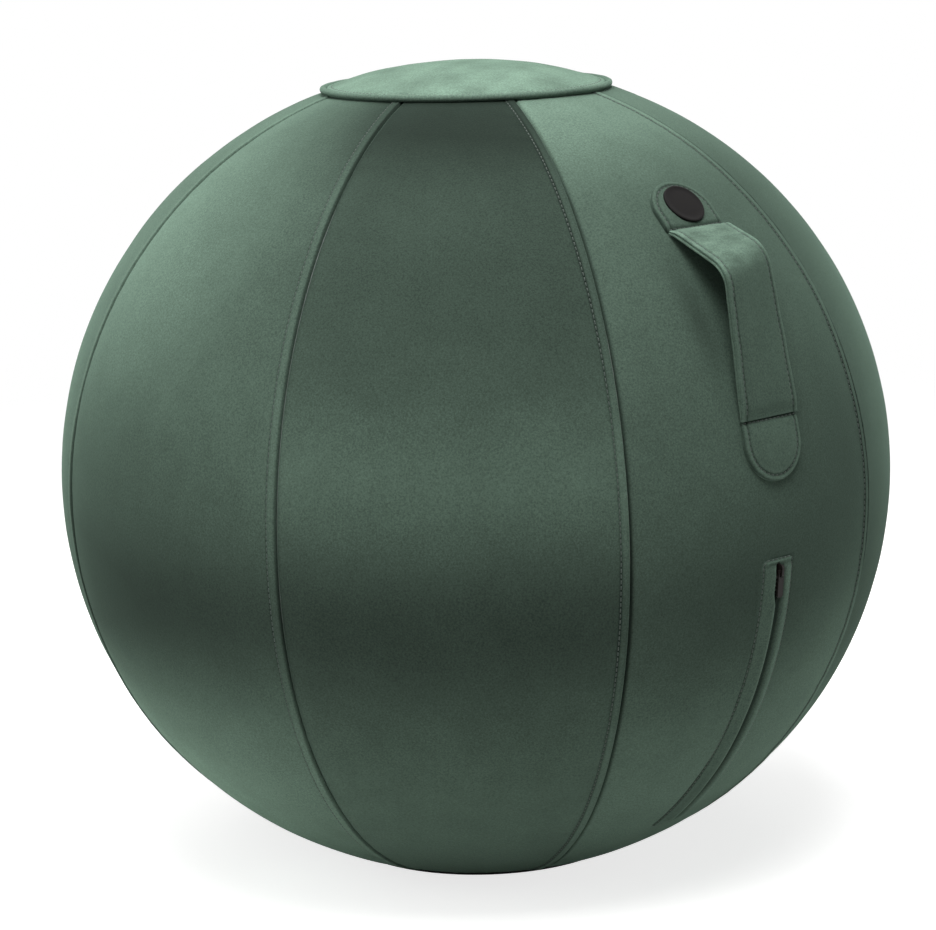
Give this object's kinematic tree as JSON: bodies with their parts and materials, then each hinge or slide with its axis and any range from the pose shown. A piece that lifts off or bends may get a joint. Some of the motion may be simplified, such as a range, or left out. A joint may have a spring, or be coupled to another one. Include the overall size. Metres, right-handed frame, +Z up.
{
  "type": "sitting ball",
  "caption": "Velvet-covered inflatable sitting ball with sewn gores, a round crown cap, a strap handle and a zip, standing on a small flat base.",
  "frame": {"origin": "middle of the flat base, on the floor", "axes": "+Z up along the ball's axis; the handle and the zip lie on the -Y side, +X to their right"},
  "size_m": [0.65, 0.6544, 0.6215],
  "materials": {
    "velvet": "matte",
    "padding": "matte",
    "bladder_vinyl": "satin",
    "valve_plastic": "satin",
    "base_rubber": "matte",
    "badge_rubber": "satin",
    "zip_tape": "matte",
    "zip_teeth": "satin",
    "zip_metal": "satin"
  },
  "bodies": {
    "root": {"bladder": "bladder_vinyl", "valve_collar": "bladder_vinyl", "valve_plug": "valve_plastic", "gore_front": "velvet", "gore_front_right": "velvet", "gore_right": "velvet", "gore_back_right": "velvet", "gore_back": "velvet", "gore_back_left": "velvet", "gore_left": "velvet", "gore_front_left": "velvet", "top_cap": "velvet", "cap_pad": "padding", "cap_piping": "velvet", "base_panel": "base_rubber", "base_insert": "padding", "handle_top_tab": "velvet", "handle_bottom_tab": "velvet", "handle_upper_flex": "velvet", "handle_lower_flex": "velvet", "badge": "badge_rubber", "zip_lip_left": "velvet", "zip_lip_right": "velvet", "zip_tape_left": "zip_tape", "zip_tape_right": "zip_tape", "zip_teeth_left": "zip_teeth", "zip_teeth_right": "zip_teeth", "zip_top_stop": "zip_metal", "zip_bottom_stop": "zip_metal"},
    "handle": {"grip_back": "velvet", "grip_core": "padding", "grip_face": "velvet"},
    "zip_slider": {"zip_slider": "zip_metal"},
    "pull_tab": {"pull_tab": "zip_metal"}
  },
  "joints": [
    {"name": "zip_slide", "type": "hinge", "parent": "root", "child": "zip_slider", "pos_m": [0, -0.01, 0.303], "axis": [1, 0, 0], "range_deg": [0, 44], "deforming": ["zip_teeth_left", "zip_teeth_right"]},
    {"name": "pull_flip", "type": "hinge", "parent": "zip_slider", "child": "pull_tab", "pos_m": [0, -0.32699, 0.27258], "axis": [-1, 0, 0], "range_deg": [0, 165]},
    {"name": "handle_sway", "type": "hinge", "parent": "root", "child": "handle", "pos_m": [0, -0.28031, 0.44794], "axis": [0, 0.4725, 0.8813], "range_deg": [-8, 8], "stiffness_Nm_per_rad": 0.6, "deforming": ["handle_upper_flex", "handle_lower_flex"]}
  ]
}
